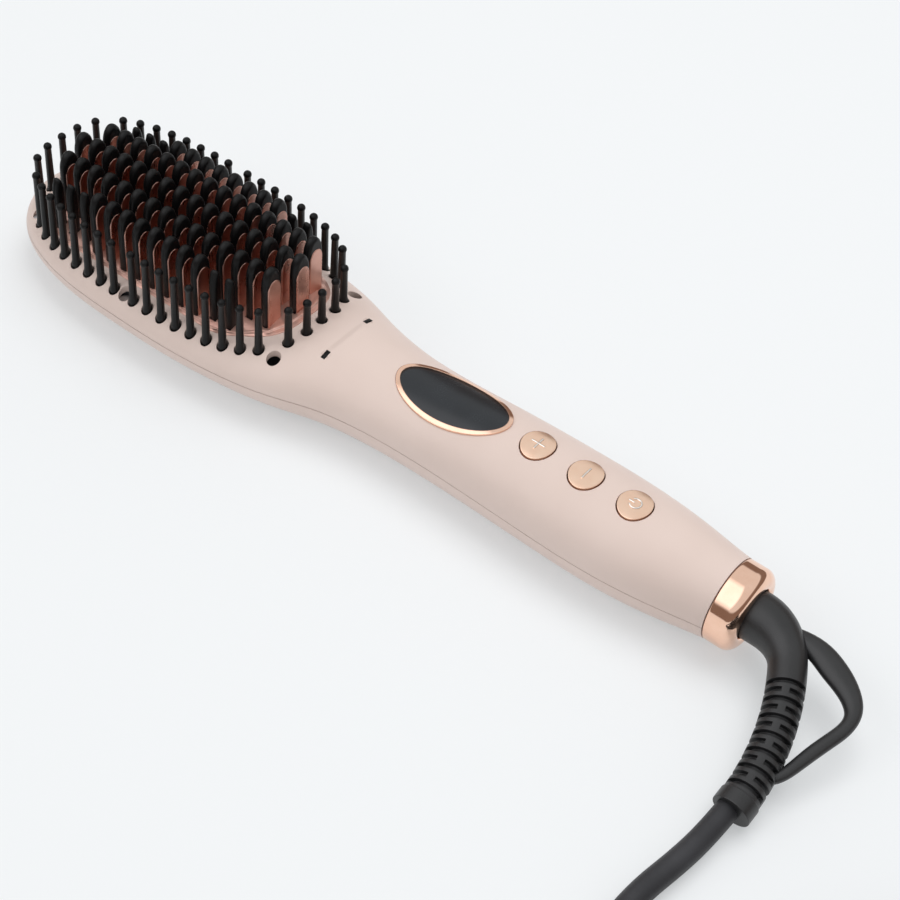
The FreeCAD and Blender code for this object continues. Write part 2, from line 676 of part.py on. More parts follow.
def relief_slot(number):
    """A ring-shaped slot with two webs; the webs of neighbours stand crosswise."""
    along = (size("slot_start") + number * size("slot_pitch")) / size("tail_radius")
    heading = tail_heading + along
    centre = arc_edge(tail_start, tail_heading, size("tail_radius"), along)[1]
    width, reach = size("slot_width"), 2 * size("relief_radius")
    ring = Part.makeCylinder(reach, width).cut(Part.makeCylinder(size("slot_core"), width))
    web = Part.makeBox(2 * reach, size("slot_web"), width, Vector(-reach, -size("slot_web") / 2, 0))
    if number % 2:
        web.rotate(Vector(), Vector(0, 0, 1), 90)
    slot = ring.cut(web)
    slot.Placement = Placement(centre, Rotation(Vector(0, 0, 1), Vector(0, 1, 0),
                                                Vector(math.cos(heading), math.sin(heading), 0), "ZYX"))
    return slot


def to_swivel(shape):
    """From the flat layout to the brush: y turns to -Y, drooping about the handle's axis."""
    shape = shape.copy()
    shape.rotate(Vector(), Vector(1, 0, 0), 180 + size("relief_droop"))
    shape.translate(Vector(0, 0, size("axis_height")))
    return shape


def rounded_path(points, radii):
    """Straight runs joined by tangent arcs, with one radius for each inner point."""
    edges = []
    start = points[0]
    for i, radius in enumerate(radii, start=1):
        back = (points[i - 1] - points[i]).normalize()
        ahead = (points[i + 1] - points[i]).normalize()
        half_turn = (math.pi - back.getAngle(ahead)) / 2
        trim = radius * math.tan(half_turn)
        bisector = (back + ahead).normalize()
        middle = points[i] + bisector * (radius / math.cos(half_turn) - radius)
        entry, leave = points[i] + back * trim, points[i] + ahead * trim
        edges += [Part.makeLine(start, entry), Part.Arc(entry, middle, leave).toShape()]
        start = leave
    edges.append(Part.makeLine(start, points[-1]))
    return Part.Wire(edges)


def loop_band():
    """The flat hanging loop, from the elbow's back to the relief's lower end."""
    points = [elbow_start + Vector(size("loop_root_ahead"), -size("loop_root_aside"), 0),
              elbow_start + Vector(size("loop_peak_ahead"), size("loop_peak_down"), 0),
              elbow_start + Vector(size("loop_foot_ahead"), size("loop_foot_down"), 0),
              relief_end + Vector(size("loop_end_ahead"), -size("loop_end_up"), 0)]
    path = rounded_path(points, [size("loop_bend"), size("loop_ease")])
    ahead = (points[1] - points[0]).normalize()
    across = Vector(-ahead.y, ahead.x, 0) * (size("loop_width") / 2)
    up = Vector(0, 0, size("loop_thickness") / 2)
    corners = [points[0] + across + up, points[0] - across + up, points[0] - across - up,
               points[0] + across - up]
    shell = Part.BRepOffsetAPI.MakePipeShell(path)
    shell.add(Part.makePolygon(corners + corners[:1]))
    shell.build()
    shell.makeSolid()
    return shell.shape()


relief_form = relief_blank()
slots = Part.makeCompound([relief_slot(i) for i in range(int(size("slot_count")))])
strain_relief = solid("strain_relief", to_swivel(relief_form.cut(slots)))
hang_loop = solid("hang_loop", to_swivel(loop_band().cut(relief_form)))

# Cord: a hand-chosen route over the floor to the coil, then the coil's turns


def swivel_point(point):
    return to_swivel(Part.Vertex(point)).Point


CORD_Z = size("cord_radius") + size("coil_lift")
ROUTE = [swivel_point(relief_end), Vector(155.9, -58.5, 4.6), Vector(154.5, -70, CORD_Z),
         Vector(152.3, -82, CORD_Z), Vector(151.9, -94.5, CORD_Z), Vector(154.9, -106.6, CORD_Z),
         Vector(161.3, -117.3, CORD_Z), Vector(170.6, -125.7, CORD_Z), Vector(183.3, -131.6, CORD_Z),
         Vector(205, -135.4, CORD_Z), Vector(239, -135.4, CORD_Z)]
RUN_SHARE = 0.45


def route_radii(points):
    radii = []
    for before, here, after in zip(points, points[1:], points[2:]):
        back, ahead = before - here, after - here
        half_turn = (math.pi - back.getAngle(ahead)) / 2
        radii.append(RUN_SHARE * min(back.Length, ahead.Length) / math.tan(half_turn))
    return radii


def tube(path, radius):
    """A round tube along a wire; its volume is compared with section times length."""
    start = path.Edges[0]
    heading = start.tangentAt(start.FirstParameter)
    shell = Part.BRepOffsetAPI.MakePipeShell(path)
    shell.add(Part.Wire(Part.makeCircle(radius, start.valueAt(start.FirstParameter), heading)))
    shell.build()
    shell.makeSolid()
    shape = shell.shape()
    print("tube length %.1f, volume over section times length %.4f"
          % (path.Length, shape.Volume / (math.pi * radius ** 2 * path.Length)))
    return shape


cord_radii = route_radii(ROUTE)
print("cord radii", [round(radius, 1) for radius in cord_radii])
cord = solid("cord", tube(rounded_path(ROUTE, cord_radii), size("cord_radius")))

COIL_OUTER = size("coil_inner") + size("coil_step") * size("coil_turns") / 2
COIL_LEAD = 2 * size("cord_radius")
COIL_CENTRE = ROUTE[-1] + Vector(COIL_LEAD, COIL_OUTER, 0)
COIL_START = 1.5 * math.pi
CLIMB_TURNS = 0.5
SMALL_TURN = 0.01


def coil_point(turn):
    """A point of the coil: it spirals in, climbs one layer as it turns back, and spirals out."""
    from_middle = turn - size("coil_turns") / 2
    radius = size("coil_inner") + size("coil_step") * abs(from_middle)
    climb = min(max(from_middle / CLIMB_TURNS + 0.5, 0), 1)
    height = size("coil_step") * climb * climb * (3 - 2 * climb)
    angle = COIL_START + 2 * math.pi * turn
    return COIL_CENTRE + Vector(radius * math.cos(angle), radius * math.sin(angle), height)


def coil_heading(turn):
    """The heading there, taken level and square to the radius at both ends."""
    angle = COIL_START + 2 * math.pi * turn
    if turn in (0, size("coil_turns")):
        return Vector(-math.sin(angle), math.cos(angle), 0)
    return (coil_point(turn + SMALL_TURN) - coil_point(turn - SMALL_TURN)).normalize()


def biarc(start, start_heading, end, end_heading):
    """Two arcs that leave one point and reach another along the given headings."""
    chord = end - start
    spread = 2 * (start_heading.dot(end_heading) - 1)
    along = 2 * chord.dot(start_heading + end_heading)
    square = chord.dot(chord)
    if abs(spread) < 1e-9:
        reach = square / along
    else:
        reach = (along - math.sqrt(along ** 2 - 4 * spread * square)) / (2 * spread)
        if reach < 0:
            reach = (along + math.sqrt(along ** 2 - 4 * spread * square)) / (2 * spread)
    first, second = start + start_heading * reach, end - end_heading * reach
    joint = (first + second) * 0.5
    edges = []
    for a, knee, b in ((start, first, joint), (joint, second, end)):
        weight = (b - a).Length / (2 * reach)
        middle = (a + knee * (2 * weight) + b) * (1 / (2 + 2 * weight))
        edges.append(Part.Arc(a, middle, b).toShape())
    return edges


PLUG_RISE = size("cord_radius") + size("plug_gap") + size("plug_height") / 2
TAIL_RUN, TAIL_TURN = 11.5, math.radians(17)
TAIL_RISES = (0, 0.09, 0.2, 0.23, 0.23, 0.17, 0.08, 0)


def coil_tail():
    """Points from the coil's end up onto its top, and the heading on which the plug lies."""
    points = [coil_point(size("coil_turns"))]
    heading = COIL_START + 2 * math.pi * size("coil_turns") + math.pi / 2
    for number, share in enumerate(TAIL_RISES):
        ahead = heading + number * TAIL_TURN
        points.append(points[-1] + Vector(TAIL_RUN * math.cos(ahead), TAIL_RUN * math.sin(ahead),
                                          PLUG_RISE * share))
    return points, ahead


TAIL, PLUG_HEADING = coil_tail()


def coil_edges():
    parts = 2 * math.ceil(2 * size("coil_turns"))
    turns = [size("coil_turns") * i / parts for i in range(parts + 1)]
    edges = [Part.makeLine(ROUTE[-1], coil_point(0))]
    for before, after in zip(turns, turns[1:]):
        edges += biarc(coil_point(before), coil_heading(before), coil_point(after), coil_heading(after))
    return edges + rounded_path(TAIL, route_radii(TAIL)).Edges


def least_gap(path):
    """Smallest clear distance between turns, on points a quarter of a diameter apart."""
    points = path.discretize(int(path.Length / (size("cord_radius") / 2)))
    apart = int(math.pi * size("coil_inner") / (size("cord_radius") / 2))
    least = HIGH
    for i, point in enumerate(points):
        for other in points[i + apart:]:
            least = min(least, point.distanceToPoint(other))
    return least - 2 * size("cord_radius")


coil_path = Part.Wire(coil_edges())
print("coil least gap %.2f" % least_gap(coil_path))
cord_coil = solid("cord_coil", tube(coil_path, size("cord_radius")))

# Tie round the coil, half a turn from its start, and the plug that lies on the coil


def tie_block(margin, width):
    passes = [(coil_point(number + 0.5) - COIL_CENTRE).y for number in range(int(size("coil_turns")))]
    spare = size("cord_radius") + margin
    inner = COIL_CENTRE.y + min(passes) - spare - size("tie_slack")
    outer = COIL_CENTRE.y + max(passes) + spare + size("tie_slack")
    low, high = COIL_CENTRE.z - spare, COIL_CENTRE.z + size("coil_step") + spare
    block = Part.makeBox(width, outer - inner, high - low, Vector(COIL_CENTRE.x - width / 2, inner, low))
    long_edges = [edge for edge in block.Edges if edge.BoundBox.XLength > width / 2]
    return block.makeFillet(size("cord_radius") / 2 + margin, long_edges)


tie_outer = tie_block(size("tie_gap") + size("tie_thickness"), size("tie_width"))
tie_inner = tie_block(size("tie_gap"), 2 * size("tie_width"))
cord_tie = solid("cord_tie", tie_outer.cut(tie_inner))


def at_plug(shape):
    """From a layout along x with the cord at the origin to the plug's place on the coil."""
    shape = shape.copy()
    shape.Placement = Placement(TAIL[-1], Rotation(Vector(0, 0, 1), math.degrees(PLUG_HEADING)))
    return shape


def plug_shape():
    """A flat tapered plug body with a round neck at the cord."""
    neck = Part.makeCone(size("cord_radius") + size("plug_neck_wall"), size("plug_neck_radius"),
                         size("plug_neck"), Vector(), Vector(1, 0, 0))
    back, front = size("plug_back_width") / 2, size("plug_width") / 2
    low, near = -size("plug_height") / 2, size("plug_neck")
    far = near + size("plug_length")
    flare = far - size("plug_length") / 3
    corners = [Vector(near, -back, low), Vector(flare, -front, low), Vector(far, -front, low),
               Vector(far, front, low), Vector(flare, front, low), Vector(near, back, low)]
    body = Part.Face(Part.makePolygon(corners + corners[:1])).extrude(Vector(0, 0, size("plug_height")))
    body = body.makeFillet(size("plug_round"), body.Edges)
    return body.fuse(neck)


def plug_pin(side):
    foot = Vector(size("plug_neck") + size("plug_length"), side * size("plug_pin_pitch") / 2, 0)
    return Part.makeCylinder(size("plug_pin_radius"), size("plug_pin_length"), foot, Vector(1, 0, 0))


plug_body = solid("plug_body", at_plug(plug_shape()))
plug_pins = solid("plug_pins", at_plug(Part.makeCompound([plug_pin(-1), plug_pin(1)])))

NODES = [upper_shell, lower_shell, heating_plate, heating_fins, fin_hoods, bristle_pins,
         bristle_carrier, ceramic_heater, insulation_pad, thermal_fuse, temperature_sensor,
         head_screws, ion_needles, ion_generator, display_bezel, display_lens, display_module,
         control_board, board_screws, tact_switches, end_collar, swivel_bearing, swivel_spindle,
         strain_relief, hang_loop, cord, cord_coil, cord_tie, plug_body, plug_pins]
NODES += list(buttons.values()) + list(plungers.values())


def finish():
    doc.recompute()
    for item in doc.Objects:
        if "Invalid" in item.State or "Error" in item.State:
            raise RuntimeError("%s did not build: %s" % (item.Name, item.State))
    os.makedirs("parts", exist_ok=True)
    for node in NODES:
        shape = node.Shape
        if shape.isNull() or not shape.isValid():
            raise RuntimeError("%s has no valid shape" % node.Name)
        node.Label = node.Name
        shape.exportStep(os.path.join("parts", node.Label + ".step"))
        print("%-20s solids %3d  volume %9.1f" % (node.Label, len(shape.Solids), shape.Volume))


finish()
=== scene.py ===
"""Looks of the heated styling brush, in metres.

Finishes of the CAD nodes; the forms that stand for some of them (teeth, guard pins, collar, strain relief,
hanging loop, cord) or lie on them (plate rim, black outlet patches painted as shade, button marks); light,
floor and camera.
"""

import math

import bmesh
import bpy
from mathutils import Matrix, Vector
from mathutils.bvhtree import BVHTree


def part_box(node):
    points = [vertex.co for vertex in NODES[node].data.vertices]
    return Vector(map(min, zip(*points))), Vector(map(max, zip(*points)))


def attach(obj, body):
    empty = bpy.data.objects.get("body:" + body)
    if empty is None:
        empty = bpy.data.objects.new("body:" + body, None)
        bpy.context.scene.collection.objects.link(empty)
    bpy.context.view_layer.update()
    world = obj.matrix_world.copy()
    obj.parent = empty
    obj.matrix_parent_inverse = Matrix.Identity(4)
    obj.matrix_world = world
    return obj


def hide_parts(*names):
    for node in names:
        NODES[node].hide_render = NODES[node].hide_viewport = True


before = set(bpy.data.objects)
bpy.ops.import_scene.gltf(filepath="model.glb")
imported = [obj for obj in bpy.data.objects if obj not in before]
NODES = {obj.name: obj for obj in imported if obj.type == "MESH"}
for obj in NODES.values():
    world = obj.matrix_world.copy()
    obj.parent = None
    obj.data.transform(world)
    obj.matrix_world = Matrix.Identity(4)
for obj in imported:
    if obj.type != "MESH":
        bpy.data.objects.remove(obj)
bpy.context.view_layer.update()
MM = 0.001

# Camera, found from the ring of guard pins
CAMERA_AT = Vector((248.47, -322.02, 419.19)) * MM
CAMERA_AZIMUTH = 34.274
CAMERA_ELEVATION = 46.677
CAMERA_ROLL = 5.429
CAMERA_LENS = 79.12
CAMERA_NEAR = 0.01

# Mains cord: route points as in the part's source, then the coil
CORD_RADIUS = 3.3 * MM
ROUTE = [(156.175, -47.773, 5.846), (155.9, -58.5, 4.6), (154.5, -70, 4.2), (152.3, -82, 4.2),
         (151.9, -94.5, 4.2), (154.9, -106.6, 4.2), (161.3, -117.3, 4.2), (170.6, -125.7, 4.2),
         (183.3, -131.6, 4.2), (205, -135.4, 4.2), (239, -135.4, 4.2)]
COIL_STEP = 7.1 * MM
COIL_INNER = 29 * MM
COIL_TURNS = 5.9
COIL_START = 1.5 * math.pi
COIL_OUTER = COIL_INNER + COIL_STEP * COIL_TURNS / 2
COIL_LEAD = 2 * CORD_RADIUS
COIL_CLIMB = 0.5
COIL_POINTS = 24
TAIL_RUN = 11.5 * MM
TAIL_TURN = math.radians(17)
TAIL_RISES = (0, 0.09, 0.2, 0.23, 0.23, 0.17, 0.08, 0)
PLUG_RISE = 10.4 * MM

# Studio: level and light of the world; the room that mirrors see low and high, where it brightens, and its
# bright window; the floor; the softboxes, with place, width, height and power
WORLD_LEVEL = 0.58
WORLD_LIGHT = (0.93, 0.95, 0.96)
ROOM_LOW = (0.40, 0.30, 0.25)
ROOM_HIGH = (1.36, 1.38, 1.39)
ROOM_RISE = (0.38, 0.47)
WINDOW_LIGHT = (2.8, 2.8, 2.85)
WINDOW_AIM = (-0.40, -0.40, 0.825)
WINDOW_EDGE = (0.80, 0.90)
FLOOR_GLOW = (0.84, 0.86, 0.87)
FLOOR_SHARE = 0.45
FLOOR_TONE = (0.90, 0.91, 0.92)
FLOOR_HALF, FLOOR_DROP = 6, 0.05 * MM
SOFTBOXES = {"top_softbox": ((0.1, 0.25, 1.2), 1.1, 0.9, 8.4),
             "left_softbox": ((-0.5, -0.85, 0.98), 0.8, 0.6, 2.6)}

# Teeth: slabs with an arched top and rounded edges; a blade stands out of its hood on both faces
HOOD_THICKNESS, HOOD_ARCH, HOOD_ROUND = 2.8 * MM, 5.6 * MM, 1.2 * MM
BLADE_WIDTH, BLADE_THICKNESS, BLADE_ARCH, BLADE_ROUND = 5.4 * MM, 3.2 * MM, 3.4 * MM, 0.35 * MM
ARCH_STEPS = 16
ROUND_STEPS = 4
EDGE_LIMIT = 0.7  # most of a half width that a rounded edge takes

# Guard pins: radii in millimetres against the height over the body's skin, then neck and ball
PIN_FOOT = [(1.45, 0.1), (1.4, 0.4), (1.29, 0.9), (1.2, 1.6)]
PIN_NECK, PIN_BALL = 1.05 * MM, 1.3 * MM
PIN_SIDES, BALL_STEPS, BALL_TOP = 20, 8, math.radians(82)
CAD_FOOT_RADIUS, CAD_FOOT_HEIGHT = 1.6 * MM, 1.2 * MM

# Rim of the heating plate: an oval outline over the plate's own, and its profile as share of the way in
# and height over the body in millimetres
RIM_MIDDLE, RIM_HALF_LENGTH, RIM_HALF_WIDTH, RIM_POWER = -72.55 * MM, 48.75 * MM, 21.3 * MM, 3
RIM_POINTS = 160
RIM_PROFILE = [(0, -0.4), (0, 0.2), (0.06, 0.32), (0.42, 0.34), (0.47, 0.42), (0.52, 0.68), (0.58, 0.8),
               (0.94, 0.82), (1, 0.45), (1, -0.2)]
PLATE_REAR, PLATE_FRONT, PLATE_HALF_WIDTH = -121 * MM, -26.6 * MM, 20.5 * MM
PLATE_PROUD, RIM_OVERLAP, RIM_COVER, RIM_CLEAR = 0.5 * MM, 0.3 * MM, 0.7 * MM, 0.4 * MM

# Outlets at the neck: the source's holes, the black patches that show as painted shade for their openings,
# and the soft step from one to the other
OUTLET_AT, OUTLET_SIDE, OUTLET_LENGTH, OUTLET_WIDTH = -10.4 * MM, 9.4 * MM, 2.6 * MM, 1.3 * MM
OUTLET_ASIDE, OUTLET_DEPTH, OUTLET_SUNK = 0.2 * MM, 1 * MM, 0.02 * MM
SHADE_PATCH_LENGTH, SHADE_PATCH_WIDTH, SHADE_PATCH_PROUD = 1.4 * MM, 2.8 * MM, 0.1 * MM
STEP_AT, STEP_BOW, STEP_HALF, STEP_HEIGHT = -10 * MM, 9, 1.3 * MM, 0.42
STEP_FALL, STEP_SIDES, STEP_LIFT = (3 * MM, 26 * MM), (4 * MM, 12 * MM), (12 * MM, 16 * MM)

# Collar: distance along the handle's axis and radius, in millimetres
AXIS_HEIGHT = 14.7 * MM
COLLAR_PROFILE = [(0, 10.2), (0, 12.1), (0.12, 12.3), (0.3, 12.38), (0.6, 12.38), (4.8, 12.38),
                  (5.2, 12.38), (6.1, 12.22), (6.9, 11.8), (7.6, 11.15), (8.1, 10.35), (8.37, 9.4),
                  (8.4, 8.5), (8.3, 8), (8, 7.65), (7.4, 7.55), (4, 7.55), (4, 10.2)]
COLLAR_SIDES = 96
WELD = 1e-6  # points this close are one

# Strain relief in the swivel's flat layout, in millimetres: x along the handle, y away from it
RELIEF_START, RELIEF_DROOP = 128.3, 10.5
RELIEF_LEAD, ELBOW_RADIUS, ELBOW_TURN, TAIL_RADIUS, TAIL_BEND = 3.9, 16.4, 60, 79.5, 31.9
RELIEF_RADIUS, RELIEF_SLIM, RELIEF_CORE, RELIEF_BORE = 7.2, 5.2, 3.8, 3.1
SLOT_COUNT, SLOT_START, SLOT_PITCH, SLOT_WIDTH = 13, 5.7, 2.65, 1.4
RELIEF_SIDES, RELIEF_STEPS, WEB_SIDES = 60, 28, 2
BAND_RADIUS, BAND_LENGTH = 5.5, 4.2
RELIEF_EDGE, EDGE_SEGMENTS, EDGE_ANGLE = 0.16 * MM, 2, math.radians(40)

# Hanging loop in the same layout: place, width in the layout and height across it
LOOP = [(138.8, 0.6, 4.6, 4.2), (143.4, -1.2, 5.6, 4.6), (150.3, -1.0, 7.4, 4.6), (155.6, 1.3, 8.0, 4.4),
        (160.2, 3.3, 7.2, 4.2), (164.0, 5.7, 6.1, 4.1), (166.5, 8.3, 5.3, 3.9), (167.7, 11.2, 4.3, 3.7),
        (167.6, 15.1, 4.1, 3.6), (166.0, 20.0, 4.1, 3.5), (164.4, 25.3, 4.1, 3.4), (163.2, 30.4, 3.7, 3.3),
        (161.8, 35.7, 3.4, 3.1), (158.6, 39.0, 3.1, 3.0)]
LOOP_SIDES, LOOP_SMOOTH = 14, 2

# Raised marks on the buttons: place of each button on X, and strokes round its middle in millimetres
MARK_RADIUS = 0.32 * MM
POWER_RADIUS = 1.7
POWER_ARC = [(POWER_RADIUS * math.cos(math.radians(turn)), POWER_RADIUS * math.sin(math.radians(turn)))
             for turn in range(-140, 141, 20)]
MARKS = {"heat_up": (57.9, [[(-2.2, 0), (2.2, 0)], [(0, -2.2), (0, 2.2)]]),
         "heat_down": (74.1, [[(0, -2.2), (0, 2.2)]]),
         "power": (90.3, [POWER_ARC, [(-2.1, 0), (-0.3, 0)]])}
STROKE_STEP = 0.4


class Wire:
    """A shader socket that adds Math nodes when it is used in a sum or product."""

    def __init__(self, tree, socket):
        self.tree = tree
        self.socket = socket

    def math(self, operation, *others):
        return self.tree.node("ShaderNodeMath", {"operation": operation}, self, *others)

    def __add__(self, other):
        return self.math("ADD", other)

    __radd__ = __add__

    def __mul__(self, other):
        return self.math("MULTIPLY", other)

    __rmul__ = __mul__

    def __sub__(self, other):
        return self.math("SUBTRACT", other)

    def clamped(self, low, high):
        return self.math("MAXIMUM", low).math("MINIMUM", high)

    def span(self, low, high, from_low=0.0, from_high=1.0, kind="LINEAR"):
        """Stretch a range of this value over another and stop at its ends."""
        settings = {"interpolation_type": kind, "clamp": True}
        return self.tree.node("ShaderNodeMapRange", settings, Value=self, **{
            "From Min": from_low, "From Max": from_high, "To Min": low, "To Max": high})


class Tree:
    """A node tree under construction."""

    def __init__(self, owner):
        owner.use_nodes = True
        self.nodes = owner.node_tree.nodes
        self.links = owner.node_tree.links

    def feed(self, node, socket, value):
        target = node.inputs[socket]
        if isinstance(value, Wire):
            self.links.new(value.socket, target)
        elif isinstance(value, (tuple, list)) and target.type == "RGBA":
            target.default_value = (*value[:3], 1)
        else:
            target.default_value = value

    def node(self, kind, settings, *values, pick=0, **named):
        """Add a node: its settings first, then its sockets by order or by name; gives one output."""
        made = self.nodes.new(kind)
        for word, value in settings.items():
            setattr(made, word, value)
        for number, value in enumerate(values):
            self.feed(made, number, value)
        for socket, value in named.items():
            self.feed(made, socket, value)
        return Wire(self, made.outputs[pick])

    def mix(self, share, first, second):
        """Blend two colours."""
        made = self.nodes.new("ShaderNodeMix")
        made.data_type = "RGBA"
        for socket, value in zip((made.inputs[0], made.inputs[6], made.inputs[7]), (share, first, second)):
            if isinstance(value, Wire):
                self.links.new(value.socket, socket)
            elif isinstance(value, tuple):
                socket.default_value = (*value, 1)
            else:
                socket.default_value = value
        return Wire(self, made.outputs[2])


class Finish(Tree):
    """A material under construction: feeds its main shader."""

    def __init__(self, name, settings=None):
        self.material = bpy.data.materials.new(name)
        super().__init__(self.material)
        self.shader = self.nodes["Principled BSDF"]
        self.output = self.nodes["Material Output"]
        self.place = self.node("ShaderNodeTexCoord", {}, pick="Object")
        for socket, value in (settings or {}).items():
            self.feed(self.shader, socket, value)

    def noise(self, scale, detail=2.0, stretch=(1, 1, 1)):
        place = self.node("ShaderNodeMapping", {}, self.place, Scale=stretch)
        return self.node("ShaderNodeTexNoise", {}, Vector=place, Scale=scale, Detail=detail)

    def colour(self, value):
        self.feed(self.shader, "Base Color", value)

    def roughness(self, value):
        self.feed(self.shader, "Roughness", value)

    def bump(self, height, depth, soften=None):
        """Relief of the given depth in metres; soften is a radius that rounds sharp edges."""
        settings = {"Height": height, "Distance": depth, "Strength": 1.0}
        if soften:
            settings["Normal"] = self.node("ShaderNodeBevel", {"samples": 6}, Radius=soften)
        self.feed(self.shader, "Normal", self.node("ShaderNodeBump", {}, **settings))


def body_plastic():
    """Soft-touch pink-beige moulding with a very fine matt grain."""
    finish = Finish("body_plastic", {"Specular IOR Level": 0.42, "Sheen Weight": 0.08,
                                     "Sheen Roughness": 0.4})
    clouds = finish.noise(35, 3)
    grain = finish.noise(4200, 2)
    finish.colour(finish.mix(clouds.span(0, 1, 0.3, 0.7), (0.700, 0.560, 0.500), (0.735, 0.595, 0.535)))
    finish.roughness(0.47 + 0.06 * (clouds - 0.5) + 0.10 * (grain - 0.5))
    finish.bump(0.012 * grain + STEP_HEIGHT * neck_step(finish), MM, soften=0.25 * MM)
    return finish.material


def neck_step(finish):
    """The soft step at the neck: a height from 0 to 1 that dies away towards the handle and the sides."""
    x, y, z = (finish.node("ShaderNodeSeparateXYZ", {}, finish.place, pick=axis) for axis in "XYZ")
    past = x - STEP_AT + STEP_BOW * (y * y)
    rise = past.span(0, 1, -STEP_HALF, STEP_HALF, "SMOOTHERSTEP") * past.span(1, 0, *STEP_FALL)
    return rise * y.math("ABSOLUTE").span(1, 0, *STEP_SIDES, "SMOOTHERSTEP") * z.span(0, 1, *STEP_LIFT)


def fin_metal():
    """Rose-copper coated aluminium, satin with faint upright brushing."""
    finish = Finish("fin_metal", {"Metallic": 1.0})
    brushing = finish.noise(900, 3, stretch=(1, 1, 0.08))
    patches = finish.noise(140, 2)
    finish.colour(finish.mix(patches.span(0, 1, 0.3, 0.7), (0.56, 0.300, 0.240), (0.66, 0.380, 0.310)))
    finish.roughness(0.28 + 0.05 * (brushing - 0.5) + 0.05 * (patches - 0.5))
    finish.bump(brushing, 0.003 * MM)
    return finish.material


def plate_metal_painted_light():
    """The heating plate: the fins' coating, more even, in paler tones that are painted light where light
    reaches the open plate.
    """
    finish = Finish("plate_metal_painted_light", {"Metallic": 0.65})
    speckle = finish.noise(2200, 2)
    patches = finish.noise(60, 2)
    # tones paler than the fins' same coating: painted light on the open plate
    finish.colour(finish.mix(patches.span(0, 1, 0.3, 0.7), (0.74, 0.43, 0.35), (0.80, 0.49, 0.41)))
    finish.roughness(0.30 + 0.10 * (speckle - 0.5))
    finish.bump(speckle, 0.008 * MM, soften=0.2 * MM)
    return finish.material


def black_moulding(name, tone, rough, gloss, grain_depth, soften):
    """Black plastic or rubber with a fine grain and faint paler handling marks."""
    finish = Finish(name, {"Specular IOR Level": gloss})
    grain = finish.noise(3600, 2)
    marks = finish.noise(110, 4)
    dark = (tone, tone, tone * 1.06)
    pale = (tone * 1.5, tone * 1.5, tone * 1.6)
    finish.colour(finish.mix(marks.span(0, 1, 0.4, 0.75), dark, pale))
    finish.roughness(rough + 0.10 * (marks - 0.5) + 0.12 * (grain - 0.5))
    finish.bump(grain, grain_depth, soften=soften)
    return finish.material


def rose_gold(name, rough, ripple, low, high):
    """Bright rose-gold plating over plastic, with the faint waviness of a plated moulding."""
    finish = Finish(name, {"Metallic": 1.0})
    waves = finish.noise(260, 2)
    specks = finish.noise(1800, 2)
    finish.colour(finish.mix(waves.span(0, 1, 0.3, 0.7), low, high))
    finish.roughness(rough + 0.05 * (specks - 0.5))
    finish.bump(waves, ripple, soften=0.3 * MM)
    return finish.material


def smoked_window():
    """Near-black display window with a satin top coat."""
    finish = Finish("smoked_window", {"Specular IOR Level": 0.5})
    haze = finish.noise(90, 3)
    dust = finish.noise(5200, 1)
    finish.colour(finish.mix(haze.span(0, 1, 0.35, 0.7), (0.008, 0.010, 0.013), (0.012, 0.015, 0.019)))
    finish.roughness(0.26 + 0.06 * (haze - 0.5) + 0.05 * (dust - 0.5))
    finish.bump(dust, 0.003 * MM)
    return finish.material


def cord_jacket():
    """Dark grey flexible jacket with a dull skin."""
    finish = Finish("cord_jacket", {"Specular IOR Level": 0.45})
    skin = finish.noise(1500, 3)
    rubs = finish.noise(90, 3)
    finish.colour(finish.mix(rubs.span(0, 1, 0.4, 0.75), (0.022, 0.022, 0.025), (0.034, 0.034, 0.038)))
    finish.roughness(0.52 + 0.10 * (skin - 0.5))
    finish.bump(skin, 0.02 * MM)
    return finish.material


def plain_metal(name, tone, rough):
    """Bare or plated metal with turning marks."""
    finish = Finish(name, {"Metallic": 1.0})
    turning = finish.noise(2600, 2, stretch=(1, 1, 0.1))
    finish.colour(finish.mix(turning, tuple(0.9 * part for part in tone), tone))
    finish.roughness(rough + 0.12 * (turning - 0.5))
    finish.bump(turning, 0.006 * MM)
    return finish.material


def inner_part(name, first, second, rough, scale):
    """A piece inside the body: two close tones in a fine mottle."""
    finish = Finish(name)
    mottle = finish.noise(scale, 3)
    finish.colour(finish.mix(mottle.span(0, 1, 0.35, 0.65), first, second))
    finish.roughness(rough + 0.15 * (mottle - 0.5))
    finish.bump(mottle, 0.02 * MM)
    return finish.material


def dress(material, *names):
    for name in names:
        mesh = NODES[name].data
        mesh.materials.clear()
        mesh.materials.append(material)


